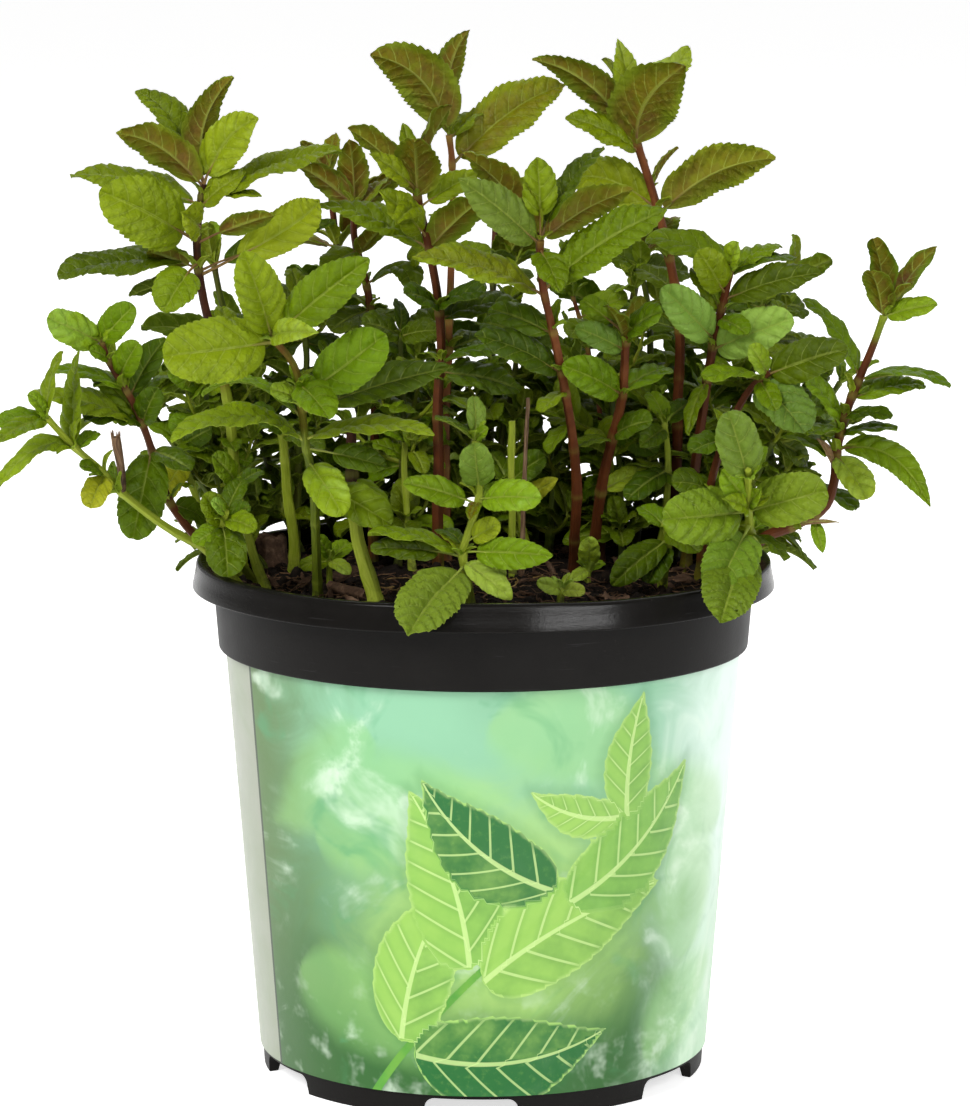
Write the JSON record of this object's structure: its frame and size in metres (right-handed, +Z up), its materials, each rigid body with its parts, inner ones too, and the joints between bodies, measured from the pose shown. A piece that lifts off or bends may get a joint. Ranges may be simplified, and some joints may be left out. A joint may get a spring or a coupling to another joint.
{
  "type": "potted mint plant",
  "caption": "Leafy mint plant with upright square stems and toothed leaves, growing in a round tapered nursery pot with a printed wrap.",
  "frame": {"origin": "centre of the pot's foot, on the surface that the pot stands on", "axes": "+Z up along the pot's axis, -Y towards the side that faces the viewer in the picture, +X to that viewer's right"},
  "size_m": [0.2094, 0.1651, 0.2315],
  "materials": {
    "pot_plastic": "satin black moulded plastic, fine wear along the lip",
    "sleeve_print": "printed wrap, pale green, light gloss",
    "soil": "damp dark peat with fibres",
    "leaf": "matt mint leaf, quilted between sunken veins, slight sheen",
    "stem_green": "square stem, yellow-green, satin",
    "bark": "dry brown bark and dead stem"
  },
  "bodies": {
    "root": {"pot": "pot_plastic", "label_sleeve": "sleeve_print", "soil": "soil", "old_crown": "bark", "fallen_twig": "bark", "bark_chip": "bark", "shoot_right_tall": "leaf", "shoot_centre_back_tall": "leaf", "shoot_centre_tall": "leaf", "shoot_left_tall": "leaf", "shoot_centre_red": "leaf", "shoot_left_bright": "leaf", "shoot_front_rosette": "leaf", "shoot_front_right_rosette": "leaf", "shoot_far_right": "leaf", "shoot_right_upper": "leaf", "shoot_right_middle": "leaf", "shoot_right_inner": "leaf", "shoot_left_outer": "leaf", "shoot_far_left": "leaf", "shoot_left_back": "leaf", "thick_stem_front": "leaf", "thick_stem_left": "leaf", "forked_stem_left": "leaf", "shoot_left_low": "leaf", "shoot_right_low": "leaf", "shoot_thin_red": "leaf", "shoot_left_short": "leaf", "shoot_right_short": "leaf", "shoot_centre_short": "leaf", "stem_centre_short": "leaf", "cut_stem_green": "stem_green", "dry_stub_centre": "bark", "shoot_inner_1": "leaf", "shoot_inner_2": "leaf", "shoot_inner_3": "leaf", "shoot_inner_4": "leaf", "shoot_inner_5": "leaf", "seedling_front": "leaf", "seedling_right": "leaf", "seedling_left": "leaf", "shoot_inner_6": "leaf", "shoot_inner_7": "leaf", "shoot_inner_8": "leaf", "shoot_inner_9": "leaf", "shoot_inner_10": "leaf", "shoot_back_1": "leaf", "shoot_back_2": "leaf", "shoot_back_3": "leaf", "shoot_back_4": "leaf", "shoot_back_5": "leaf", "shoot_back_6": "leaf", "shoot_back_7": "leaf", "shoot_back_8": "leaf", "shoot_back_9": "leaf", "shoot_back_10": "leaf", "shoot_back_11": "leaf", "shoot_back_12": "leaf", "shoot_back_13": "leaf"}
  },
  "joints": []
}
